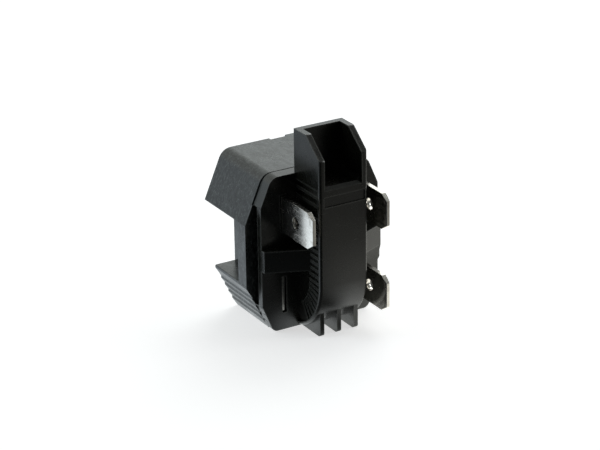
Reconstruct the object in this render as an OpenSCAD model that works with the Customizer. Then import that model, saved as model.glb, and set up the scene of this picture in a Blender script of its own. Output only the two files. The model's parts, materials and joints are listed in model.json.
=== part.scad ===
// Start relay of a hermetic refrigeration compressor, with a ceramic starting disc.
// The front cover carries the spade tabs; the rear housing plugs onto the three
// pins of the compressor. Millimetres, +Z up, tabs towards -Y, pins enter from +Y.
// Depths are counted from the front face of the disc bay and shifted by front_y,
// so that the origin lies under the middle of the whole part.

/* [Housing] */
// Width across the hood's skirts and the feet
housing_w = 26; // [25:0.1:30]
// Depth from the front of the disc bay to the joint of cover and housing
joint_y = 9.7; // [9.5:0.1:11]
// Depth from the front of the disc bay to the back edge of the hood
hood_back_y = 23.5; // [22.5:0.1:28]
// Height of the hood's top above the base
hood_top_z = 27.6; // [27:0.1:30]
// Height of the lower edge of the hood's skirts
skirt_low_z = 19.2; // [17.5:0.1:20]
// Width of the hood's flat top, measured to the sharp corners
hood_top_w = 18.8; // [18.5:0.1:20]
// Radius of the fold between the hood's top and its skirts
hood_round = 2.4; // [1:0.1:3]
// Least radius of the fold's inner side
inner_round = 0.3; // [0.2:0.1:0.6]
// Wall of the hood's skirts and top
hood_wall = 1.5; // [1.2:0.1:2]
// Width of the body between the skirts
body_w = 18.4; // [18.4:0.1:19.5]
// Depth of the body's back face
body_back_y = 20.4; // [20:0.1:22]
// Depth of the two side flanges behind the cover
flange_t = 2.6; // [2:0.1:4]
// Height of the feet's top
foot_z = 8.4; // [7.5:0.1:9]
// Number of grip steps down the side of each foot
foot_steps = 5; // [3:1:7]
// Share of a step's height at which its nose lies
step_nose = 0.6; // [0.5:0.05:0.7]
// Share of a step's height that its upright face takes
step_face = 0.42; // [0.3:0.02:0.6]
// How far the feet's side leans in from top to bottom
foot_lean = 3.4; // [3:0.05:3.6]
// Chamfer along the feet's upper outer edge
foot_chamfer = 0.4; // [0.2:0.05:0.5]
// How far the hood's roof reaches down to the contacts' room
roof_t = 2.1; // [1.8:0.1:2.4]
// Height of the body's underside
body_low_z = 0.6; // [0.4:0.1:1]
// Height of the floor under the contacts
cavity_low_z = 2; // [1.5:0.1:2.5]
// Depth of the contacts' room behind the joint
cavity_d = 5; // [4.5:0.1:6]
// Width of the seam between cover and hood
seam_w = 0.25; // [0.1:0.05:0.4]
// Depth of that seam
seam_d = 0.3; // [0.1:0.05:0.5]
// Width of the notch in the hood's back edge
notch_w = 3.1; // [2:0.1:5]
// Sideways place of that notch
notch_x = 1.2; // [-2:0.1:2]
// Depth of that notch
notch_d = 0.6; // [0.3:0.1:1]

/* [Front cover] */
// Width across the cover's upright edges
cover_w = 22.5; // [21.5:0.1:24]
// Depth of the cover's front face
board_y = 7.5; // [7:0.1:8]
// Height at which the upright edges start
cover_low_z = 5; // [4:0.1:6]
// Height at which the upright edges end
cover_high_z = 22.6; // [21.5:0.1:23.5]
// Width of the cover's top, measured to the sharp corners
cover_top_w = 18.2; // [17.5:0.1:18.4]
// Width of the cover's bottom, measured to the sharp corners
cover_low_w = 18.4; // [17.5:0.1:19]
// Radius of the cover's top corners
cover_round = 2; // [1:0.1:2.5]
// Radius of the cover's bottom corners
cover_low_round = 1.2; // [0.6:0.1:1.5]
// Radius of the bends in the cover's upright edges
cover_side_round = 0.9; // [0.4:0.1:1.2]
// Height of the cover's bottom above the base
cover_lift = 0.1; // [0.05:0.05:0.3]
// Thickness of the cover's edge in front of the side groove
edge_t = 1.2; // [0.8:0.1:1.6]
// Depth of the side groove between cover and flange
groove_d = 1.1; // [0.5:0.1:1.5]
// Thickness of the cover's skin in front of the grip steps
step_skin = 0.3; // [0.2:0.05:0.6]

/* [Disc bay] */
// Width of the bay that stands out of the cover
bay_w = 9.1; // [8.9:0.1:10]
// Radius of the bay's round underside
bay_r = 9.7; // [9.5:0.1:9.8]
// Thickness of the bay's front wall
bay_wall = 1.1; // [0.9:0.1:1.3]
// Wall of the bay's sides
side_wall = 0.9; // [0.8:0.05:1]
// Depth of the front wall's rim beside the grips
rim_t = 0.6; // [0.5:0.1:0.9]
// How far the bold ledges start below the pocket's floor
ledge_drop = 0.6; // [0.4:0.1:1]
// How far the bold ledges stay behind the bay's full width
ledge_in = 0.1; // [0.05:0.05:0.2]
// Radius of the upright front edges of bay and tower
front_round = 0.45; // [0.2:0.05:0.5]
// How far the bay's sides lie behind the rim
flank_in = 0.5; // [0.3:0.05:0.6]
// Spacing of the fine grip ribs on the bay's sides
grip_pitch = 1.14; // [1:0.02:1.6]
// Length of a grip rib behind the rim
grip_len = 3.4; // [2:0.1:5]
// Height of one grip rib
grip_h = 0.5; // [0.3:0.05:0.7]
// How far a grip rib stands out
grip_out = 0.25; // [0.15:0.05:0.3]
// Number of grip ribs that turn with the round underside
grip_turns = 8; // [4:1:9]
// Height of the highest fine grip rib
grip_high_z = 21.8; // [18:0.1:22]
// Spacing of the two bold ledges under the tower
ledge_pitch = 1.5; // [1.2:0.1:2]
// Height of each bold ledge
ledge_h = 0.5; // [0.3:0.05:0.7]
// Width of the bare plate field on the bay's front
field_w = 7.7; // [6:0.1:8]
// Height of that field
field_h = 1.75; // [1:0.05:2]
// Height of the field's middle above the base
field_z = 24.55; // [23:0.05:24.8]
// Depth of the field's recess
field_d = 0.2; // [0.1:0.05:0.4]
// How far the field sits to the right of the middle
field_x = 0.2; // [0:0.05:0.3]

/* [Tower] */
// Height of the tower's top above the base
tower_z = 35.2; // [34:0.1:38]
// Height at which the tower's front slope starts
slope_low_z = 31.8; // [31:0.1:33]
// Depth at which the front slope reaches the top
slope_y = 4.2; // [3:0.1:5]
// Depth of the tower's back face
tower_back_y = 8.3; // [8:0.1:9]
// Radius of the tower's top edges
tower_round = 0.5; // [0.3:0.1:0.8]
// Side walls of the tower
tower_wall = 1.05; // [0.9:0.05:1.3]
// Back wall of the tower
tower_back_t = 1.5; // [1:0.1:1.8]
// Height of the pocket's floor
pocket_z = 27.1; // [26.8:0.1:28]
// Thickness under the pocket's floor
sill_t = 1.65; // [1.3:0.05:2]
// Bevel of the pocket's sill
sill_bevel = 0.5; // [0.3:0.1:0.8]
// Radius between the pocket's floor and its sides
pocket_round = 0.8; // [0.4:0.1:1.2]

/* [Fins and bars] */
// Spacing of the three fins under the bay
fin_pitch = 3.26; // [2:0.02:3.6]
// Thickness of a fin
fin_t = 0.8; // [0.6:0.05:1]
// Depth of the fins' front edge
fin_y = 1.7; // [1.5:0.1:3]
// Height of the fins at their front edge
fin_front_z = 5; // [4:0.1:6]
// Height of the fins inside the cover
fin_back_z = 3; // [2:0.1:4]
// Radius of the fins' lower front corner
fin_round = 0.6; // [0.3:0.1:1]
// Height of the cross bars' lower edge
bar_z = 11.5; // [11:0.1:12]
// Height of the cross bars
bar_h = 3.8; // [3:0.1:5]
// How far the bars stand out at the cover's edge
bar_end_out = 0.9; // [0.5:0.1:1.5]
// How far the bars stand out at the bay
bar_root_out = 4; // [3:0.1:5]
// Height of the sloped web under the right bar
bar_web_h = 2.7; // [1:0.1:4]

/* [Tabs] */
// Width of a spade tab
tab_w = 6.3; // [6.3:0.1:6.4]
// Thickness of a spade tab
tab_t = 0.8; // [0.7:0.05:0.85]
// How far the tips stand in front of the bay
tab_out = 2.4; // [1.5:0.1:4]
// Sideways place of the tabs' middle planes
tab_x = 7.03; // [7:0.01:7.2]
// Height of the lower edge of the upper left tab
left_tab_z = 17.8; // [17:0.1:18]
// Height of the lower edge of the upper right tab
right_tab_z = 18.1; // [17:0.1:18.2]
// Height of the lower edge of the lower right tab
low_tab_z = 3.5; // [3.3:0.05:3.7]
// Length of the bevel at a tab's tip
tip_bevel = 1.5; // [1:0.1:2]
// Height of the bevel at a tab's tip
tip_bevel_h = 1; // [0.5:0.05:1.5]
// Length over which a tip gets thinner
tip_taper = 0.8; // [0.5:0.1:1.5]
// Thickness left at the very tip
tip_t = 0.55; // [0.4:0.05:0.8]
// Diameter of the hole in a tab
tab_hole_d = 2; // [1.5:0.1:2.4]
// Distance of that hole from the tip
tab_hole_y = 5.2; // [4:0.1:6]
// Height of the lower edge of the blade in the cover's slot
slot_blade_z = 3.3; // [3.2:0.05:3.6]
// How far that blade stays behind the cover's face
slot_blade_in = 0.4; // [0.2:0.1:0.8]
// Thickness of that blade
slot_blade_t = 0.6; // [0.5:0.05:0.7]

/* [Contacts] */
// Diameter of the circle through the compressor pins
pin_circle_d = 13.5; // [13.4:0.1:13.9]
// How far the two low pins' middles lie above the low tab
pin_rise = 1.825; // [1.7:0.005:1.9]
// Diameter of a compressor pin
pin_d = 3.2; // [2.8:0.1:3.3]
// Wall of a pin socket
socket_wall = 0.4; // [0.3:0.05:0.45]
// Length of a pin socket
socket_len = 8.2; // [7:0.1:8.4]
// Width of the slit along a socket
socket_slit = 0.7; // [0.4:0.1:1]
// Thickness of the steel clip round a socket
clip_t = 0.3; // [0.2:0.05:0.35]
// How far that clip stays inside the socket's mouth
clip_in = 0.8; // [0.4:0.1:1.5]
// Length of that clip
clip_len = 3; // [2:0.1:3.5]
// Thickness of the current straps
strap_t = 0.6; // [0.4:0.05:0.7]
// Depth of the straps behind the joint
strap_set = 0.5; // [0.3:0.05:0.7]
// Length of a strap's lug along its blade
lug_len = 3; // [2.6:0.1:3.5]
// How far a lug stays inside its blade's edges
lug_in = 0.9; // [0.6:0.05:1.2]
// How far the side straps' wings reach in front of the disc's middle
wing_reach = 4; // [3.5:0.1:4.5]
// Half the height of a wing
wing_half = 5.2; // [5.1:0.1:5.5]
// Thickness of a wing
wing_t = 0.4; // [0.3:0.05:0.5]
// Space between the starting disc's rim and the bay's front wall
disc_rim = 1; // [0.8:0.1:1.5]
// Thickness of the starting disc
disc_t = 2.6; // [2:0.1:3]
// Thickness of the contact springs
spring_t = 0.25; // [0.15:0.05:0.3]
// Width of the contact springs
spring_w = 4.6; // [3:0.1:4.8]
// Length of the contact springs
spring_len = 10; // [8:0.1:10.5]
// Diameter of the rivets
rivet_d = 1.4; // [1.2:0.1:1.6]
// Diameter of the rivets' heads
rivet_head_d = 2.4; // [2:0.1:2.8]
// Height of the rivets' heads
rivet_head_h = 0.3; // [0.2:0.05:0.3]

/* [Clearances] */
// Gap round a blade in its slot
slot_gap = 0.12; // [0.05:0.01:0.2]
// Gap round a pin where it enters the housing
entry_gap = 0.3; // [0.2:0.05:0.4]
// Bevel round that hole
entry_bevel = 0.6; // [0.3:0.1:0.8]
// Gap behind a socket's mouth
mouth_gap = 0.05; // [0.03:0.01:0.1]
// Gap round a socket's clip in its chamber
chamber_gap = 0.15; // [0.1:0.01:0.2]
// Least gap between the disc's rim and the common socket
disc_clear = 0.5; // [0.3:0.1:1]
// Gap round the disc in its bay
disc_gap = 0.15; // [0.1:0.01:0.3]
// Gap between a rivet and its holes
rivet_gap = 0.02; // [0.01:0.01:0.05]
// Gap between spring and disc and between spring and wing
spring_gap = 0.03; // [0.01:0.01:0.05]

/* [Hidden] */
$fn = 64;
eps = 0.01;

black_cover = "#26282a";
black_housing = "#33363a";
tin = "#c9cbcc";
brass = "#b99a4d";
steel = "#9aa0a5";
ceramic = "#7d7468";

front_y = -(hood_back_y - tab_out) / 2;
half_w = housing_w / 2;
half_bay = bay_w / 2;
flank_x = half_bay - flank_in;
bay_in = flank_x - side_wall;
ledge_top_z = pocket_z - ledge_drop;
half_cover = cover_w / 2;
half_body = body_w / 2;
cavity_x = tab_x + tab_t / 2 + rivet_head_h + slot_gap;
cavity_back_y = joint_y + cavity_d;
strap_y = joint_y + strap_set;
strap_back_y = strap_y + strap_t;
root_y = strap_back_y + lug_len;
disc_y = bay_r;
disc_z = bay_r;
disc_d = 2 * (bay_r - bay_wall - disc_rim);
socket_r = pin_d / 2 + socket_wall;
pin_r = pin_circle_d / 2;
pin_rows = pin_r * (1 + sin(30));
// The low pins stand over the low tab, and the common pin over the disc
low_pin_z = max(low_tab_z + tab_w + pin_rise,
                disc_z + disc_d / 2 + disc_clear + socket_r - pin_rows);
// Places of the pins as [x, z]: common on top, run at the right, start at the left
common_pin = [0, low_pin_z + pin_rows];
run_pin = [pin_r * cos(30), low_pin_z];
start_pin = [-run_pin.x, run_pin.y];
chamber_r = socket_r + clip_t + chamber_gap;
socket_back_y = strap_back_y + socket_len;
entry_r = pin_d / 2 + entry_gap;
wing_x = bay_in - wing_t;
wing_y = disc_y - wing_reach;
spring_y = (wing_y + strap_back_y) / 2;

// Points of an arc about c, from angle a to angle b
function arc(c, r, a, b, n = 16) =
    [for (i = [0:n]) c + r * [cos(a + (b - a) * i / n), sin(a + (b - a) * i / n)]];

function unit(v) = v / norm(v);

// Points of a round corner at b between its neighbours a and c
function corner(a, b, c, r, n) =
    r == 0 ? [b] :
    let (u = unit(a - b), w = unit(c - b), half = acos(u * w) / 2,
         centre = b + unit(u + w) * r / sin(half),
         p = b + u * r / tan(half) - centre,
         q = b + w * r / tan(half) - centre,
         start = atan2(p.y, p.x),
         sweep = (atan2(q.y, q.x) - start + 540) % 360 - 180)
    arc(centre, r, start, start + sweep, n);

// Outline through [x, y, radius] points, with its corners rounded
function rounded(pts, n = 6) =
    let (m = len(pts))
    [for (i = [0:m - 1])
        let (a = pts[(i + m - 1) % m], b = pts[i], c = pts[(i + 1) % m])
        each corner([a.x, a.y], [b.x, b.y], [c.x, c.y], b[2], n)];

// Moves a piece from the bay's own depths to the part's frame
module in_frame() { translate([0, front_y, 0]) children(); }

// Extrudes an X-Z outline from depth y0 to depth y1
module along_y(y0, y1) {
    translate([0, y1, 0]) rotate([90, 0, 0]) linear_extrude(y1 - y0) children();
}

// Extrudes a Y-Z outline from x0 to x1
module along_x(x0, x1) {
    translate([x0, 0, 0]) rotate([90, 0, 90]) linear_extrude(x1 - x0) children();
}

// Box between two corners
module block(a, b) { translate(a) cube(b - a); }

// Round bar along +Y at [x, z]
module rod_y(p, r, y0, y1) {
    translate([p.x, y0, p.y]) rotate([-90, 0, 0]) cylinder(h = y1 - y0, r = r);
}

// Round bar along +X at [y, z]
module rod_x(y, z, r, x0, x1) {
    translate([x0, y, z]) rotate([0, 90, 0]) cylinder(h = x1 - x0, r = r);
}

module both_sides() { children(); mirror([1, 0, 0]) children(); }

// Outline of the cover, seen from the front
module cover_outline() {
    top = cover_top_w / 2;
    low = cover_low_w / 2;
    polygon(rounded([
        [-low, cover_lift, cover_low_round], [low, cover_lift, cover_low_round],
        [half_cover, cover_low_z, cover_side_round], [half_cover, cover_high_z, cover_side_round],
        [top, hood_top_z, cover_round], [-top, hood_top_z, cover_round],
        [-half_cover, cover_high_z, cover_side_round], [-half_cover, cover_low_z, cover_side_round]]));
}

// Front view of the feet's stepped side, from the top to the base: each step has
// an upright face over a nose, from which it falls inwards to the next face
function foot_side() =
    let (step_z = foot_z / (foot_steps + step_face), step_x = foot_lean / foot_steps)
    [[half_w - foot_chamfer, foot_z], [half_w, foot_z - foot_chamfer / 2],
     for (i = [0:foot_steps - 1])
        let (x = half_w - (i + step_nose) * step_x, z = foot_z - (i + step_nose) * step_z)
        each i == 0 ? [[x, z]] : [[x, z + step_face * step_z], [x, z]],
     [half_w - foot_lean - step_x, 0]];

module feet_outline() {
    side = foot_side();
    polygon(concat([[0, foot_z], [0, 0]], [for (i = [len(side) - 1:-1:0]) side[i]]));
}

// Side view of the bay and the tower, set back by inset behind the front skin
module bay_profile(inset, top) {
    back = bay_r + joint_y;
    polygon(concat(
        [[back, top], [inset, top]],
        arc([bay_r, bay_r], bay_r - inset, 180, 270, 24), [[back, inset]]));
}

// Bay with its front edges rounded, as layers that get wider as they set back
module bay_body() {
    intersection() {
        hull() for (k = [0:4]) {
            out = half_bay - front_round * (1 - cos(22.5 * k));
            along_x(-out, out) bay_profile(front_round * (1 - sin(22.5 * k)), hood_top_z);
        }
        along_x(-half_bay, half_bay) square([joint_y, tower_z]);
    }
}

// Top view of the tower
module tower_plan() {
    polygon(rounded([
        [-half_bay, 0, front_round], [half_bay, 0, front_round],
        [half_bay, tower_back_y, front_round], [-half_bay, tower_back_y, front_round]], 4));
}

module tower_profile() {
    polygon(rounded([
        [0, field_z, 0], [tower_back_y, field_z, 0], [tower_back_y, tower_z, tower_round],
        [slope_y, tower_z, tower_round], [0, slope_low_z, tower_round]], 4));
}

// Recess of one bay side, between the rim and the cover's face
module flank_recess() {
    along_x(flank_x, half_bay + 1)
        intersection() {
            bay_profile(rim_t, ledge_top_z);
            square([board_y, tower_z]);
        }
}

// Grip ribs of one bay side: level above the disc's middle, and turned with the
// round underside below it
module grips() {
    turn = grip_pitch / (bay_r - rim_t) * 180 / PI;
    tip = rim_t - bay_r;
    intersection() {
        union() {
            for (z = [disc_z:grip_pitch:grip_high_z])
                block([flank_x - eps, rim_t - eps, z],
                      [flank_x + grip_out, rim_t + grip_len, z + grip_h]);
            for (i = [1:grip_turns])
                translate([0, disc_y, disc_z]) rotate([i * turn, 0, 0])
                    block([flank_x - eps, tip - 1, 0], [flank_x + grip_out, tip + grip_len, grip_h]);
            for (i = [1, 2])
                block([flank_x - eps, rim_t - eps, ledge_top_z - i * ledge_pitch],
                      [half_bay - ledge_in, board_y, ledge_top_z - i * ledge_pitch + ledge_h]);
        }
        along_x(0, half_bay) intersection() {
            bay_profile(rim_t - 2 * eps, ledge_top_z);
            square([board_y + eps, tower_z]);
        }
    }
}

// Plan view of the right bar, slanted back from the bay to the cover's edge
module bar_plan() {
    polygon([[flank_x - eps, board_y + edge_t / 2], [flank_x - eps, board_y - bar_root_out],
             [half_cover, board_y - bar_end_out], [half_cover, board_y + edge_t / 2]]);
}

// Sloped web under the right bar
module bar_web() {
    low = bar_z - bar_web_h;
    intersection() {
        translate([0, 0, low]) linear_extrude(bar_web_h + eps) bar_plan();
        along_x(flank_x - eps, half_cover)
            polygon([[board_y + eps, low], [board_y + edge_t, low], [board_y + edge_t, bar_z + eps],
                     [board_y - bar_end_out, bar_z + eps]]);
    }
}

module fins() {
    for (i = [-1:1])
        along_x(i * fin_pitch - fin_t / 2, i * fin_pitch + fin_t / 2)
            polygon(rounded([[fin_y, 0, fin_round], [board_y + edge_t, 0, 0],
                             [board_y + edge_t, fin_back_z, 0], [fin_y, fin_front_z, 0]], 4));
}

// Space for the starting disc, shared by cover and housing
module disc_room() {
    along_x(-bay_in, bay_in)
        intersection() {
            bay_profile(bay_wall, pocket_z - sill_t);
            square([joint_y + eps, tower_z]);
        }
}

// Upright slot for a blade of width w and thickness t
module blade_slot(x, z, w, t) {
    block([x - t / 2 - slot_gap, board_y - 1, z - slot_gap],
          [x + t / 2 + slot_gap, joint_y + 1, z + w + slot_gap]);
}

module front_cover() {
    color(black_cover) in_frame() difference() {
        union() {
            difference() {
                along_y(board_y, joint_y) cover_outline();
                both_sides() block([half_cover - groove_d, board_y + edge_t, cover_low_z],
                                   [half_cover + 1, joint_y + 1, cover_high_z]);
                // The feet's grip steps run on across the lower corners
                both_sides() along_y(board_y + step_skin, joint_y + 1) difference() {
                    translate([0, -1]) square([half_cover + 1, cover_low_z + 1]);
                    feet_outline();
                }
            }
            difference() {
                union() {
                    bay_body();
                    intersection() {
                        along_x(-half_bay, half_bay) tower_profile();
                        linear_extrude(tower_z) tower_plan();
                    }
                }
                both_sides() flank_recess();
            }
            both_sides() grips();
            both_sides() translate([0, 0, bar_z]) linear_extrude(bar_h) bar_plan();
            bar_web();
            fins();
        }
        disc_room();
        // Pocket of the tower, open to the front and the top
        along_y(-1, tower_back_y - tower_back_t)
            polygon(rounded([
                [-half_bay + tower_wall, pocket_z, pocket_round],
                [half_bay - tower_wall, pocket_z, pocket_round],
                [half_bay - tower_wall, tower_z + 1, 0],
                [-half_bay + tower_wall, tower_z + 1, 0]]));
        // Bevel of the pocket's sill
        along_x(-half_bay + tower_wall, half_bay - tower_wall)
            polygon([[-1, pocket_z - 1 - sill_bevel], [-1, pocket_z + 1],
                     [1 + sill_bevel, pocket_z + 1]]);
        // Bare field on the front
        block([field_x - field_w / 2, -1, field_z - field_h / 2],
              [field_x + field_w / 2, field_d, field_z + field_h / 2]);
        blade_slot(-tab_x, left_tab_z, tab_w, tab_t);
        blade_slot(tab_x, right_tab_z, tab_w, tab_t);
        blade_slot(tab_x, low_tab_z, tab_w, tab_t);
        blade_slot(-tab_x, slot_blade_z, tab_w, slot_blade_t);
    }
}

// Front view of the hood, set in by inset and carried on below its edge by drop
module hood_outline(inset, drop) {
    lean = (housing_w - hood_top_w) / 2 / (hood_top_z - skirt_low_z);
    slant = sqrt(1 + lean * lean);
    low = half_w - inset * slant + drop * lean;
    top = hood_top_w / 2 - inset * (slant - lean);
    polygon(rounded([
        [-low, skirt_low_z - drop, 0], [low, skirt_low_z - drop, 0],
        [top, hood_top_z - inset, max(hood_round - inset, inner_round)],
        [-top, hood_top_z - inset, max(hood_round - inset, inner_round)]], 8));
}

module rear_housing() {
    color(black_housing) in_frame() difference() {
        union() {
            // Hood: a roof with two sloped skirts
            difference() {
                along_y(joint_y, hood_back_y) hood_outline(0, 0);
                along_y(joint_y + flange_t, hood_back_y + 1) hood_outline(hood_wall, 1);
                // Seam between hood and cover
                along_y(joint_y - 1, joint_y + seam_w) difference() {
                    translate([-housing_w, cover_high_z]) square([2 * housing_w, tower_z]);
                    hood_outline(seam_d, 1);
                }
            }
            // Body that holds the contacts
            block([-half_body, joint_y, body_low_z], [half_body, body_back_y, hood_top_z - hood_wall + eps]);
            // Side flanges behind the cover
            block([-half_w, joint_y, foot_z - eps], [half_w, joint_y + flange_t, skirt_low_z + eps]);
            // Feet
            both_sides() along_y(joint_y, body_back_y) feet_outline();
        }
        // Room for straps and tab roots
        block([-cavity_x, joint_y - 1, cavity_low_z], [cavity_x, cavity_back_y, hood_top_z - roof_t]);
        // Room for the disc
        rod_x(disc_y, disc_z, disc_d / 2 + disc_gap, -bay_in, bay_in);
        // Chambers of the pin sockets and the holes where the pins enter
        for (p = [common_pin, run_pin, start_pin]) {
            rod_y(p, chamber_r, joint_y - 1, socket_back_y + mouth_gap);
            rod_y(p, entry_r, joint_y, body_back_y + 1);
            translate([p.x, body_back_y, p.y]) rotate([-90, 0, 0])
                translate([0, 0, -entry_bevel])
                    cylinder(h = entry_bevel + eps, r1 = entry_r, r2 = entry_r + entry_bevel);
        }
        // Notch in the roof's back edge
        block([notch_x - notch_w / 2, hood_back_y - notch_d, hood_top_z - hood_wall - 1],
              [notch_x + notch_w / 2, hood_back_y + 1, hood_top_z + 1]);
    }
}

// Spade tab along Y with its middle plane at x and its lower edge at z
module spade(x, z) {
    tip_y = -tab_out;
    difference() {
        intersection() {
            along_x(x - tab_t / 2, x + tab_t / 2)
                polygon([[root_y, z], [root_y, z + tab_w],
                         [tip_y + tip_bevel, z + tab_w], [tip_y, z + tab_w - tip_bevel_h],
                         [tip_y, z + tip_bevel_h], [tip_y + tip_bevel, z]]);
            translate([x, 0, z - 1]) linear_extrude(tab_w + 2)
                polygon([[-tab_t / 2, root_y + 1], [tab_t / 2, root_y + 1],
                         [tab_t / 2, tip_y + tip_taper], [tip_t / 2, tip_y - eps],
                         [-tip_t / 2, tip_y - eps], [-tab_t / 2, tip_y + tip_taper]]);
        }
        rod_x(tip_y + tab_hole_y, z + tab_w / 2, tab_hole_d / 2, x - 1, x + 1);
        rivet_hole(x, z);
    }
}

// Hole of the rivet that joins a blade to its strap's lug
module rivet_hole(x, z) {
    rod_x(strap_back_y + lug_len / 2, z + tab_w / 2, rivet_d / 2 + rivet_gap, x - 2, x + 2);
}

module tab_upper_left() { color(tin) in_frame() spade(-tab_x, left_tab_z); }

module tab_upper_right() { color(tin) in_frame() spade(tab_x, right_tab_z); }

module tab_lower_right() { color(tin) in_frame() spade(tab_x, low_tab_z); }

module slot_terminal() {
    color(tin) in_frame() difference() {
        block([-tab_x - slot_blade_t / 2, board_y + slot_blade_in, slot_blade_z],
              [-tab_x + slot_blade_t / 2, root_y, slot_blade_z + tab_w]);
        rivet_hole(-tab_x, slot_blade_z);
    }
}

// Lug of a strap that lies on the inner side of a right-hand blade
module lug(z, blade_t) {
    x = tab_x - blade_t / 2;
    difference() {
        block([x - strap_t, strap_back_y - eps, z + lug_in], [x, root_y, z + tab_w - lug_in]);
        rivet_hole(x, z);
    }
}

module strap_common() {
    color(brass) in_frame() {
        x = tab_x - tab_t / 2;
        block([-x, strap_y, common_pin.y - socket_r],
              [socket_r, strap_back_y, common_pin.y + pin_d / 2]);
        mirror([1, 0, 0]) lug(left_tab_z, tab_t);
    }
}

// Side strap of the right: an upright plate, a wing beside the disc and its lugs
module side_strap(top_z, x) {
    difference() {
        block([wing_x, strap_y, low_tab_z + lug_in], [x, strap_back_y, top_z]);
        // The strap's upper end stays narrow beside the common strap
        block([0, strap_y - 1, disc_z + wing_half], [bay_in + strap_t, strap_back_y + 1, tower_z]);
    }
    block([wing_x, wing_y, disc_z - wing_half],
          [wing_x + wing_t, strap_back_y, disc_z + wing_half]);
}

module strap_run() {
    color(brass) in_frame() {
        side_strap(right_tab_z + tab_w - lug_in, tab_x - tab_t / 2);
        lug(right_tab_z, tab_t);
        lug(low_tab_z, tab_t);
    }
}

module strap_start() {
    color(brass) in_frame() mirror([1, 0, 0]) {
        side_strap(run_pin.y + socket_r, tab_x - slot_blade_t / 2);
        lug(slot_blade_z, slot_blade_t);
    }
}

// Rivet through a right-hand blade and its lug
module rivet(z, blade_t) {
    y = strap_back_y + lug_len / 2;
    mid = z + tab_w / 2;
    outer = tab_x + blade_t / 2;
    inner = tab_x - blade_t / 2 - strap_t;
    rod_x(y, mid, rivet_d / 2, inner - eps, outer + eps);
    rod_x(y, mid, rivet_head_d / 2, outer, outer + rivet_head_h);
    rod_x(y, mid, rivet_head_d / 2, inner - rivet_head_h, inner);
}

module strap_rivets() {
    color(steel) in_frame() {
        rivet(right_tab_z, tab_t);
        rivet(low_tab_z, tab_t);
        mirror([1, 0, 0]) rivet(left_tab_z, tab_t);
        mirror([1, 0, 0]) rivet(slot_blade_z, slot_blade_t);
    }
}

// Slit sleeve that grips a compressor pin
module socket(p) {
    difference() {
        rod_y(p, socket_r, strap_back_y, socket_back_y);
        rod_y(p, pin_d / 2, strap_back_y - 1, socket_back_y + 1);
        block([p.x - socket_slit / 2, strap_back_y + 1, p.y],
              [p.x + socket_slit / 2, socket_back_y + 1, p.y + socket_r + 1]);
    }
}

module socket_common() { color(brass) in_frame() socket(common_pin); }

module socket_run() { color(brass) in_frame() socket(run_pin); }

module socket_start() { color(brass) in_frame() socket(start_pin); }

// Steel clip that keeps a socket's grip
module clip(p) {
    back = socket_back_y - clip_in;
    difference() {
        rod_y(p, socket_r + clip_t, back - clip_len, back);
        rod_y(p, socket_r, back - clip_len - 1, back + 1);
        block([p.x - socket_slit, back - clip_len - 1, p.y - socket_r - 1],
              [p.x + socket_slit, back + 1, p.y]);
    }
}

module clip_common() { color(steel) in_frame() clip(common_pin); }

module clip_run() { color(steel) in_frame() clip(run_pin); }

module clip_start() { color(steel) in_frame() clip(start_pin); }

module disc() {
    color(ceramic) in_frame() rod_x(disc_y, disc_z, disc_d / 2, -disc_t / 2, disc_t / 2);
}

// Bowed leaf spring between the disc and the right-hand wing
module leaf_spring() {
    gap = wing_x - disc_t / 2 - 2 * spring_gap;
    half = spring_len / 2;
    // Radius that bows the strip across the gap, with its ends on the wing
    r = (gap * gap - spring_t * spring_t + half * half) / (2 * (gap - spring_t));
    centre_x = disc_t / 2 + spring_gap + r;
    y0 = spring_y - spring_w / 2;
    intersection() {
        difference() {
            rod_y([centre_x, disc_z], r, y0, y0 + spring_w, $fn = 128);
            rod_y([centre_x, disc_z], r - spring_t, y0 - 1, y0 + spring_w + 1, $fn = 128);
        }
        block([0, y0 - 1, disc_z - half], [wing_x, y0 + spring_w + 1, disc_z + half]);
    }
}

module spring_left() { color(steel) in_frame() mirror([1, 0, 0]) leaf_spring(); }

module spring_right() { color(steel) in_frame() leaf_spring(); }

front_cover();
rear_housing();
tab_upper_left();
tab_upper_right();
tab_lower_right();
slot_terminal();
strap_common();
strap_run();
strap_start();
strap_rivets();
socket_common();
socket_run();
socket_start();
clip_common();
clip_run();
clip_start();
disc();
spring_left();
spring_right();
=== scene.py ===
# %% [markdown]
# # A compressor start relay in moulded plastic and tinned brass
# The relay is a small plug-on device: a black front cover with spade tabs, and a hooded rear
# housing that pushes onto the three pins of a refrigeration compressor. Its exact solids come
# from the frame, in metres. This lesson gives them soft edges, plastics and metals, and
# lights them as a small product is lit.

# %% Load the frame
import json
import math

import bmesh
import bpy
from mathutils import Matrix, Vector


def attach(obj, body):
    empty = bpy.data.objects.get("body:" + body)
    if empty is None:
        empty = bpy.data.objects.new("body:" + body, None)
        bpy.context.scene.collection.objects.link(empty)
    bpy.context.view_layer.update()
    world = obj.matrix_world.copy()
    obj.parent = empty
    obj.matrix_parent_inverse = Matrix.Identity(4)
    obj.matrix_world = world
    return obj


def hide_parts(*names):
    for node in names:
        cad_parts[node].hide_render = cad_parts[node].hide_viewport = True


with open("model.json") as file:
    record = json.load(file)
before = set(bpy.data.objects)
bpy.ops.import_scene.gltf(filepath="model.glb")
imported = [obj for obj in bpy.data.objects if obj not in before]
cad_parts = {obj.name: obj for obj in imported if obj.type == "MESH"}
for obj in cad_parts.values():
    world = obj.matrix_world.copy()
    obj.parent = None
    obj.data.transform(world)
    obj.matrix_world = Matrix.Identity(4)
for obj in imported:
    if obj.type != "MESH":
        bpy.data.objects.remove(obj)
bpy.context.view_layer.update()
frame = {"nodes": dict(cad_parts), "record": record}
MM = 0.001

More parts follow.
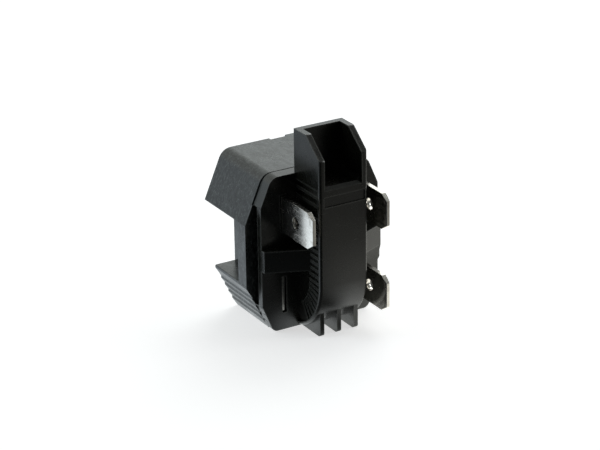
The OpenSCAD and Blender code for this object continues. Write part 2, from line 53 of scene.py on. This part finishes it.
# %% [markdown]
# The picture is taken from the left and a little above, with a long lens, so that upright
# edges hardly lean. The camera is set from three angles, a distance and the point it looks
# at, because these are what a photographer would set on a tripod.

# %% Camera
view_azimuth = math.radians(-30.3)
view_elevation = math.radians(22.95)
view_roll = math.radians(-0.81)
view_distance = 385.2 * MM
aim_point = Vector((-1.75, 0.58, 16.41)) * MM
lens_mm = 138.9
sensor_mm = 36


def camera_axes(azimuth, elevation, roll):
    """Right, up and backward directions of a camera that looks at the part."""
    back = Vector((math.sin(azimuth) * math.cos(elevation),
                   -math.cos(azimuth) * math.cos(elevation),
                   math.sin(elevation)))
    level = Vector((math.cos(azimuth), math.sin(azimuth), 0))
    rise = back.cross(level)
    right = math.cos(roll) * level + math.sin(roll) * rise
    up = -math.sin(roll) * level + math.cos(roll) * rise
    return right, up, back


right, up, back = camera_axes(view_azimuth, view_elevation, view_roll)
camera_data = bpy.data.cameras.new("camera")
camera_data.lens = lens_mm
camera_data.sensor_width = sensor_mm
camera_data.clip_start = 0.01
camera = bpy.data.objects.new("camera", camera_data)
stand = Matrix((right, up, back)).transposed().to_4x4()
stand.translation = aim_point + back * view_distance
camera.matrix_world = stand
bpy.context.scene.collection.objects.link(camera)
bpy.context.scene.camera = camera
print("camera at", [round(v, 4) for v in stand.translation])

# %% [markdown]
# Every finish below is built from shader nodes. Object coordinates are in metres, so a
# noise with a scale of 4400 has features of about 0.2 mm on the part itself. These small
# helpers keep each material short and readable. Each takes the list of nodes and the link
# function of the material that it works on.

# %% Helpers for single nodes
def new_material(name):
    """A node material with its node list, its link function and its Principled shader."""
    material = bpy.data.materials.new(name)
    material.use_nodes = True
    nodes = material.node_tree.nodes
    return material, nodes, material.node_tree.links.new, nodes["Principled BSDF"]


def add_node(nodes, kind, **settings):
    """A new shader node with its named inputs or properties set."""
    node = nodes.new(kind)
    for key, value in settings.items():
        socket = key.replace("_", " ")
        if socket in node.inputs:
            node.inputs[socket].default_value = value
        else:
            setattr(node, key, value)
    return node


def ramp(nodes, link, source, low, high, first, last):
    """Maps a value from low..high onto first..last and returns the output socket."""
    node = add_node(nodes, "ShaderNodeMapRange",
                    From_Min=low, From_Max=high, To_Min=first, To_Max=last)
    link(source, node.inputs["Value"])
    return node.outputs["Result"]


def combine(nodes, link, operation, first, second):
    """A math node on two sockets or numbers; returns the output socket."""
    node = add_node(nodes, "ShaderNodeMath", operation=operation)
    for socket, value in zip(node.inputs, (first, second)):
        if isinstance(value, (int, float)):
            socket.default_value = value
        else:
            link(value, socket)
    return node.outputs[0]


def vector_math(nodes, link, operation, source, other=(0, 0, 0)):
    """A vector math node on a socket and a constant vector; returns the node's outputs."""
    node = add_node(nodes, "ShaderNodeVectorMath", operation=operation)
    link(source, node.inputs[0])
    node.inputs[1].default_value = other
    return node.outputs


def axes(nodes, link, source):
    """Splits a vector socket into its X, Y and Z outputs."""
    node = add_node(nodes, "ShaderNodeSeparateXYZ")
    link(source, node.inputs[0])
    return node.outputs


def blend(nodes, link, factor, first, second):
    """Mixes two colours by a socket and returns the colour output."""
    mix = add_node(nodes, "ShaderNodeMix", data_type="RGBA")
    mix.inputs[6].default_value = (*first, 1)
    mix.inputs[7].default_value = (*second, 1)
    link(factor, mix.inputs[0])
    return mix.outputs[2]


# %% [markdown]
# The next helpers make whole effects. Painted edge highlights, which also stand for rubbing,
# come from an Ambient Occlusion node that looks into the solid: near an outward edge it finds
# open air close by. The last helper shows the camera something else than what lights the
# part.

# %% Helpers for effects
def painted_edge_highlight_and_wear(nodes, link, reach):
    """1 along the outward edges of a piece and 0 on its faces; reach is in metres."""
    # A painted highlight along outward edges, which also stands for rubbing
    inward = add_node(nodes, "ShaderNodeAmbientOcclusion",
                      samples=8, inside=True, only_local=True, Distance=reach)
    return ramp(nodes, link, inward.outputs["AO"], 0.55, 0.95, 1.0, 0.0)


def grain(nodes, link, place, scale, detail, stretch=(1, 1, 1)):
    """Noise in object space; stretch gives each axis its own scale factor."""
    shape = add_node(nodes, "ShaderNodeMapping")
    shape.inputs["Scale"].default_value = stretch
    link(place.outputs["Object"], shape.inputs["Vector"])
    noise = add_node(nodes, "ShaderNodeTexNoise", Scale=scale, Detail=detail, Roughness=0.55)
    link(shape.outputs["Vector"], noise.inputs["Vector"])
    return noise.outputs["Fac"]


def add_bump(nodes, link, shader, height, distance, strength=1.0, before=None):
    """Bends the shader's normal by a height field; distance is in metres."""
    bump = add_node(nodes, "ShaderNodeBump", Strength=strength, Distance=distance)
    link(height, bump.inputs["Height"])
    if before is not None:
        link(before, bump.inputs["Normal"])
    link(bump.outputs["Normal"], shader.inputs["Normal"])
    return bump.outputs["Normal"]


def show_camera(nodes, link, seen, lit, output):
    """Shows the camera one shader, and every other ray another."""
    rays = add_node(nodes, "ShaderNodeLightPath")
    choice = add_node(nodes, "ShaderNodeMixShader")
    link(rays.outputs["Is Camera Ray"], choice.inputs[0])
    link(lit.outputs[0], choice.inputs[1])
    link(seen.outputs[0], choice.inputs[2])
    link(choice.outputs[0], nodes[output].inputs["Surface"])


# %% [markdown]
# The part stands on a white table in a white room, as on a catalogue page. The table is one
# large square at the height of the feet.

# %% Table
table_half_width = 1.5
table_mesh = bmesh.new()
bmesh.ops.create_grid(table_mesh, x_segments=1, y_segments=1, size=table_half_width)
table = bpy.data.objects.new("table", bpy.data.meshes.new("table"))
table_mesh.to_mesh(table.data)
table_mesh.free()
bpy.context.scene.collection.objects.link(table)
print("table is", 2 * table_half_width, "m wide")

# %% [markdown]
# The camera sees plain white paper. Black plastic shows its form only through what it
# reflects, so every other ray sees a painted glow on the table instead: a painted pool of
# light that is bright at the sides and right under the part and fades with distance, and
# painted shade in a wedge towards the viewer, where it is nearly dark. Faces that look down
# or sideways catch this painted light, and faces that look at the viewer stay near black.

# %% Table finish
to_viewer = (-0.48, -0.877, 0)
# Each row: where a ramp begins and ends, and its value before and after
wedge_cosine = (0.64, 0.82, 1.0, 0.08)
under_part = (7 * MM, 12 * MM, 1.0, 0.0)
fade_with_distance = (40 * MM, 72 * MM, 1.0, 0.5)
fade_ahead = (-15 * MM, -40 * MM, 1.0, 0.3)
left_to_right = (-20 * MM, 15 * MM, 0.0, 1.0)
cool_white, warm_white = (0.84, 0.93, 1.0), (1.0, 1.0, 0.93)

paper, nodes, link, shader = new_material("white_paper")
shader.inputs["Base Color"].default_value = (0.8, 0.8, 0.8, 1)
shader.inputs["Roughness"].default_value = 0.9
shader.inputs["Specular IOR Level"].default_value = 0.1
place = add_node(nodes, "ShaderNodeTexCoord")
spot = place.outputs["Object"]
heading = vector_math(nodes, link, "NORMALIZE", spot)["Vector"]
forward = vector_math(nodes, link, "DOT_PRODUCT", heading, to_viewer)["Value"]
distance = vector_math(nodes, link, "LENGTH", spot)["Value"]
spot_axes = axes(nodes, link, spot)
bright = combine(nodes, link, "MAXIMUM",
                 ramp(nodes, link, forward, *wedge_cosine),
                 ramp(nodes, link, distance, *under_part))
fade = combine(nodes, link, "MULTIPLY",
               ramp(nodes, link, distance, *fade_with_distance),
               ramp(nodes, link, spot_axes["Y"], *fade_ahead))
tint = blend(nodes, link, ramp(nodes, link, spot_axes["X"], *left_to_right),
             cool_white, warm_white)
# Painted light: the table itself glows for reflected rays, a pool round the part with painted
# shade towards the viewer
painted_table_glow = add_node(nodes, "ShaderNodeEmission")
link(combine(nodes, link, "MULTIPLY", bright, fade), painted_table_glow.inputs["Strength"])
link(tint, painted_table_glow.inputs["Color"])
glow = add_node(nodes, "ShaderNodeEmission", Color=(1, 1, 1, 1), Strength=0.62)
white = add_node(nodes, "ShaderNodeAddShader")
link(shader.outputs[0], white.inputs[0])
link(glow.outputs[0], white.inputs[1])
show_camera(nodes, link, white, painted_table_glow, "Material Output")
table.data.materials.append(paper)
print("table finish:", len(nodes), "nodes")

# %% [markdown]
# The room does the same for faces that look up. It is bright behind the part and dark
# towards the viewer and overhead, so that tops turn grey and fronts stay black. Low down it
# is a little cool, and higher up nearly neutral.

# %% Room
room_to_viewer = (-0.35, -0.92, 0.1)
room_front = (-0.1, 0.55, 1.0, 0.05)
room_left = (-0.7, 0.0, 0.75, 1.0)
room_overhead = (0.42, 0.85, 1.0, 0.2)
room_height = (0.05, 0.4, 0.0, 1.0)
low_colour, high_colour = (0.84, 0.94, 1.0), (0.95, 1.0, 0.96)

room = bpy.data.worlds.new("room")
bpy.context.scene.world = room
room.use_nodes = True
nodes = room.node_tree.nodes
link = room.node_tree.links.new
place = add_node(nodes, "ShaderNodeTexCoord")
gaze = place.outputs["Generated"]
gaze_axes = axes(nodes, link, gaze)
forward = vector_math(nodes, link, "DOT_PRODUCT", gaze, room_to_viewer)["Value"]
sides = combine(nodes, link, "MULTIPLY",
                ramp(nodes, link, forward, *room_front),
                ramp(nodes, link, gaze_axes["X"], *room_left))
level = combine(nodes, link, "MULTIPLY", sides,
                ramp(nodes, link, gaze_axes["Z"], *room_overhead))
surround = nodes["Background"]
link(level, surround.inputs["Strength"])
link(blend(nodes, link, ramp(nodes, link, gaze_axes["Z"], *room_height),
           low_colour, high_colour), surround.inputs["Color"])
backdrop = add_node(nodes, "ShaderNodeBackground", Color=(1, 1, 1, 1), Strength=1.0)
show_camera(nodes, link, backdrop, surround, "World Output")
print("room:", len(nodes), "nodes")

# %% [markdown]
# Three large, weak lamps add the direct light. One stands high behind on the right, one on
# the left is cool and lines the tower's left wall, and one on the right opens the shadows.

# %% Soft boxes
lamp_target = Vector((0, 0, 0.015))


def soft_box(name, where, size, watts, tint=(1, 1, 1)):
    """A square lamp at a place in metres that faces the middle of the part."""
    lamp = bpy.data.lights.new(name, "AREA")
    lamp.shape = "SQUARE"
    lamp.size = size
    lamp.energy = watts
    lamp.color = tint
    holder = bpy.data.objects.new(name, lamp)
    holder.location = where
    aim = lamp_target - Vector(where)
    holder.rotation_euler = aim.to_track_quat("-Z", "Y").to_euler()
    bpy.context.scene.collection.objects.link(holder)


soft_box("top_box", (0.42, 0.3, 0.5), 0.5, 1.4)
soft_box("left_box", (-0.47, 0.22, 0.38), 0.2, 0.5, (0.8, 0.9, 1.0))
soft_box("right_box", (0.7, -0.35, 0.25), 0.3, 1.2)
bpy.context.scene.view_settings.view_transform = "Standard"
print("lamps:", [lamp.name for lamp in bpy.data.lights])

# %% [markdown]
# Moulded edges are never quite sharp: a small radius catches a line of light along each of
# them. A solid from the frame has sharp edges, so a copy of it is merged, its coplanar
# triangles are dissolved, and a Bevel modifier rounds the edges that are left. Single
# corners can be moved first, which the feet need.

# %% Copies with soft edges
merge_distance = 0.002 * MM
corner_tolerance = 0.03 * MM
flat_angle = math.radians(1.0)
sharp_angle = math.radians(28)


def softened(node, radius, moves=()):
    """A copy of a frame solid with rounded edges, which stands for that solid."""
    shape = bmesh.new()
    shape.from_mesh(frame["nodes"][node].data)
    bmesh.ops.remove_doubles(shape, verts=shape.verts, dist=merge_distance)
    moved = 0
    for corner in shape.verts:
        for x, z, new_x, new_z in moves:
            away = math.hypot(abs(corner.co.x) - x * MM, corner.co.z - z * MM)
            if away < corner_tolerance:
                corner.co.x = math.copysign(new_x * MM, corner.co.x)
                corner.co.z = new_z * MM
                moved += 1
                break
    bmesh.ops.dissolve_limit(shape, angle_limit=flat_angle, verts=shape.verts,
                             edges=shape.edges)
    piece = bpy.data.objects.new(node + "_body", bpy.data.meshes.new(node + "_body"))
    shape.to_mesh(piece.data)
    shape.free()
    bpy.context.scene.collection.objects.link(piece)
    edge = piece.modifiers.new("edge", "BEVEL")
    edge.width = radius
    edge.segments = 2
    edge.limit_method = "ANGLE"
    edge.angle_limit = sharp_angle
    edge.miter_outer = "MITER_ARC"
    flat = piece.modifiers.new("flat", "WEIGHTED_NORMAL")
    flat.weight = 100
    flat.keep_sharp = True
    piece.data.shade_smooth()
    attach(piece, "root")
    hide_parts(node)
    print(node, "faces:", len(piece.data.polygons), "moved:", moved)
    return piece


# %% [markdown]
# The sides of the feet have grip steps. In the photograph each step is a narrow upright
# face over a wide slope. The frame's steps have taller upright faces, so their corners move
# a little in the copies. Nothing leaves the frame's box.

# %% Grip steps of the feet
# Values are in mm. In the frame: the first step's lower corner, the way to the next one, and
# the height of the upright face
step_x, step_z = 11.912, 5.920
step_in, step_down = 0.68, 1.5498
upright = 0.651
# In the photograph: each step's x, the first lower corner's z, the way down, the upright face
seen_x = (11.95, 11.28, 10.62, 9.93)
seen_z, seen_down = 5.76, 1.396
seen_upright = 0.4

# Rows: x and z of a corner, and where it goes. The first three belong to the top edge
step_moves = [(12.6, 8.4, 12.9, 8.4), (13.0, 8.2, 13.0, 8.3), (12.592, 7.470, 13.0, 7.9)]
for i, new_x in enumerate(seen_x):
    x, z, new_z = step_x - step_in * i, step_z - step_down * i, seen_z - seen_down * i
    step_moves += [(x, z + upright, new_x, new_z + seen_upright), (x, z, new_x, new_z)]
print("corners to move on each side:", len(step_moves))

# %% [markdown]
# The two mouldings share the moved steps. The blades are punched from sheet and take a wider
# rounding. Each copy's name says which solid it stands for.

# %% Soft pieces
cover = softened("front_cover", 0.11 * MM, moves=step_moves)
housing = softened("rear_housing", 0.07 * MM, moves=step_moves)
slots = {row["node"]: row["material_slot"] for row in frame["record"]["subparts"]}
blades = [softened(name, 0.18 * MM) for name in slots if name.startswith("tab_")]
blades.append(softened("slot_terminal", 0.12 * MM))

# %% [markdown]
# The cover is a smooth black thermoplastic. Four things keep it from looking like paint:
# the roughness wanders a little, a very fine grain breaks up the reflections, a few scuffs
# and dust specks lie on it, and outward edges are painted paler, a painted highlight that
# also stands for rubbing. The edges of the slots lie deep in the cover, so this painted edge
# light fades towards the back.

# %% Cover finish
plastic_ior = 1.64
edge_reach = 0.3 * MM
slot_depth = (-1.0 * MM, 0.1 * MM, 1.0, 0.25)
cover_black, scuff_and_edge_light_grey = (0.0066, 0.007, 0.0045), (0.078, 0.08, 0.072)

cover_look, nodes, link, shader = new_material("cover_plastic_look")
place = add_node(nodes, "ShaderNodeTexCoord")
patches = grain(nodes, link, place, 420, 3)
fine = grain(nodes, link, place, 9000, 2)
scuffs = ramp(nodes, link, grain(nodes, link, place, 1500, 3, (0.35, 0.35, 1.6)),
              0.66, 0.76, 0.0, 1.0)
specks = ramp(nodes, link, grain(nodes, link, place, 5200, 1), 0.74, 0.80, 0.0, 1.0)
depth = axes(nodes, link, place.outputs["Object"])["Y"]
# Painted edge highlight, also standing for rubbing, weaker deep in the slots
edge_highlight_and_rubbing = combine(nodes, link, "MULTIPLY", painted_edge_highlight_and_wear(nodes, link, edge_reach),
                 ramp(nodes, link, depth, *slot_depth))
# Real scuffs and specks and the painted edge highlight all blend towards the grey
wear_and_painted_light = combine(nodes, link, "MAXIMUM",
               combine(nodes, link, "MULTIPLY", scuffs, 0.5), specks)
wear_and_painted_light = combine(nodes, link, "MAXIMUM", wear_and_painted_light, edge_highlight_and_rubbing)
link(blend(nodes, link, wear_and_painted_light, cover_black, scuff_and_edge_light_grey), shader.inputs["Base Color"])
rough = combine(nodes, link, "ADD", ramp(nodes, link, patches, 0.3, 0.7, 0.22, 0.32),
                combine(nodes, link, "MULTIPLY", wear_and_painted_light, 0.12))
link(rough, shader.inputs["Roughness"])
soft = add_bump(nodes, link, shader, patches, 0.01 * MM, 0.5)
add_bump(nodes, link, shader, fine, 0.006 * MM, 0.8, soft)
shader.inputs["IOR"].default_value = plastic_ior
cover.data.materials.append(cover_look)
print("cover finish:", len(nodes), "nodes")

# %% [markdown]
# The housing comes from a spark-eroded mould: it is matte and grainy, and the grain holds
# grey dust. Fine pale hairlines run across it where it has rubbed against other parts. The
# faces that look up are painted paler, a painted top light that also stands for settled dust,
# and the outward edges carry a weaker painted highlight.

# %% Housing finish
housing_black, dust_and_painted_light_grey = (0.004, 0.0045, 0.004), (0.09, 0.098, 0.095)
looks_up = (0.75, 1.0, 0.0, 0.5)

housing_look, nodes, link, shader = new_material("housing_plastic_look")
place = add_node(nodes, "ShaderNodeTexCoord")
patches = grain(nodes, link, place, 260, 4)
sparked = grain(nodes, link, place, 4400, 3)
upward = axes(nodes, link, place.outputs["Normal"])["Z"]
layer = ramp(nodes, link, grain(nodes, link, place, 900, 5, (1, 0.4, 1)),
             0.4, 0.65, 0.0, 1.3)
# Painted top light, also standing for settled dust: faces that look up turn paler
top_light_and_dust = combine(nodes, link, "MULTIPLY", ramp(nodes, link, upward, *looks_up), layer)
dust = ramp(nodes, link, grain(nodes, link, place, 2600, 1), 0.64, 0.72, 0.0, 0.9)
hairs = ramp(nodes, link, grain(nodes, link, place, 1500, 1, (1.4, 1.4, 0.35)),
             0.64, 0.72, 0.0, 1.0)
mottle = ramp(nodes, link, grain(nodes, link, place, 1900, 4, (1.2, 1.2, 0.6)),
              0.42, 0.66, 0.0, 0.5)
# Painted edge highlight, weaker on the housing, also standing for rubbing
edge_highlight_and_rubbing = combine(nodes, link, "MULTIPLY", painted_edge_highlight_and_wear(nodes, link, edge_reach), 0.35)
# Dust, hairlines, mottle, the painted edge highlight and the painted top light blend towards
# the grey
wear_and_painted_light = combine(nodes, link, "MAXIMUM", dust, hairs)
wear_and_painted_light = combine(nodes, link, "MAXIMUM", wear_and_painted_light, edge_highlight_and_rubbing)
wear_and_painted_light = combine(nodes, link, "ADD", combine(nodes, link, "ADD", wear_and_painted_light, mottle), top_light_and_dust)
link(blend(nodes, link, wear_and_painted_light, housing_black, dust_and_painted_light_grey), shader.inputs["Base Color"])
link(ramp(nodes, link, patches, 0.3, 0.7, 0.24, 0.34), shader.inputs["Roughness"])
add_bump(nodes, link, shader, sparked, 0.016 * MM, 0.8)
shader.inputs["IOR"].default_value = plastic_ior
housing.data.materials.append(housing_look)
print("housing finish:", len(nodes), "nodes")

# %% [markdown]
# The blades are tin-plated brass. Tin is a bright metal with a soft haze, faint rolling
# lines along the strip and dull stains. The sockets are bare brass and the springs steel:
# they share the same recipe with other colours.

# %% Metal finishes
stain_haze = 0.12
line_haze = 0.04


def metal(name, colour, stain, rough, stretch):
    """Rolled metal with faint lines along one axis and duller, darker stains."""
    look, nodes, link, shader = new_material(name)
    place = add_node(nodes, "ShaderNodeTexCoord")
    lines = grain(nodes, link, place, 5200, 2, stretch)
    blotches = ramp(nodes, link, grain(nodes, link, place, 700, 4), 0.52, 0.72, 0.0, 1.0)
    link(blend(nodes, link, blotches, colour, stain), shader.inputs["Base Color"])
    shader.inputs["Metallic"].default_value = 1.0
    haze = combine(nodes, link, "ADD",
                   ramp(nodes, link, blotches, 0, 1, rough, rough + stain_haze),
                   ramp(nodes, link, lines, 0.3, 0.7, -line_haze, line_haze))
    link(haze, shader.inputs["Roughness"])
    add_bump(nodes, link, shader, lines, 0.001 * MM, 0.5)
    return look


along_y, along_z = (1, 0.05, 1), (1, 1, 0.05)
finishes = {
    "tinned_brass": metal("tin_look", (0.97, 0.94, 0.88), (0.72, 0.68, 0.62), 0.17, along_y),
    "brass": metal("brass_look", (0.78, 0.6, 0.28), (0.45, 0.3, 0.14), 0.3, along_y),
    "spring_steel": metal("steel_look", (0.62, 0.63, 0.64), (0.4, 0.4, 0.41), 0.28, along_z),
}
print("metals:", list(finishes))

# %% [markdown]
# The disc inside is an unglazed ceramic: pale, dry and a little speckled.

# %% Ceramic finish
ceramic, nodes, link, shader = new_material("ceramic_look")
place = add_node(nodes, "ShaderNodeTexCoord")
link(blend(nodes, link, grain(nodes, link, place, 2400, 4),
           (0.36, 0.34, 0.31), (0.52, 0.51, 0.48)), shader.inputs["Base Color"])
shader.inputs["Roughness"].default_value = 0.7
add_bump(nodes, link, shader, grain(nodes, link, place, 7000, 2), 0.01 * MM)
finishes["ceramic"] = ceramic
print("ceramic finish:", len(nodes), "nodes")

# %% [markdown]
# The record says which material slot each solid has. Solids of metal and ceramic stay as the
# frame made them and only take a finish. The soft copies of the blades take the same one.

# %% Finishes for the solids and the blades
for name, solid in frame["nodes"].items():
    if slots[name] in finishes:
        solid.data.materials.clear()
        solid.data.materials.append(finishes[slots[name]])
for blade in blades:
    slot = slots[blade.name.removesuffix("_body")]
    blade.data.materials.append(finishes[slot])
print("finished solids:", sum(slots[n] in finishes for n in frame["nodes"]))
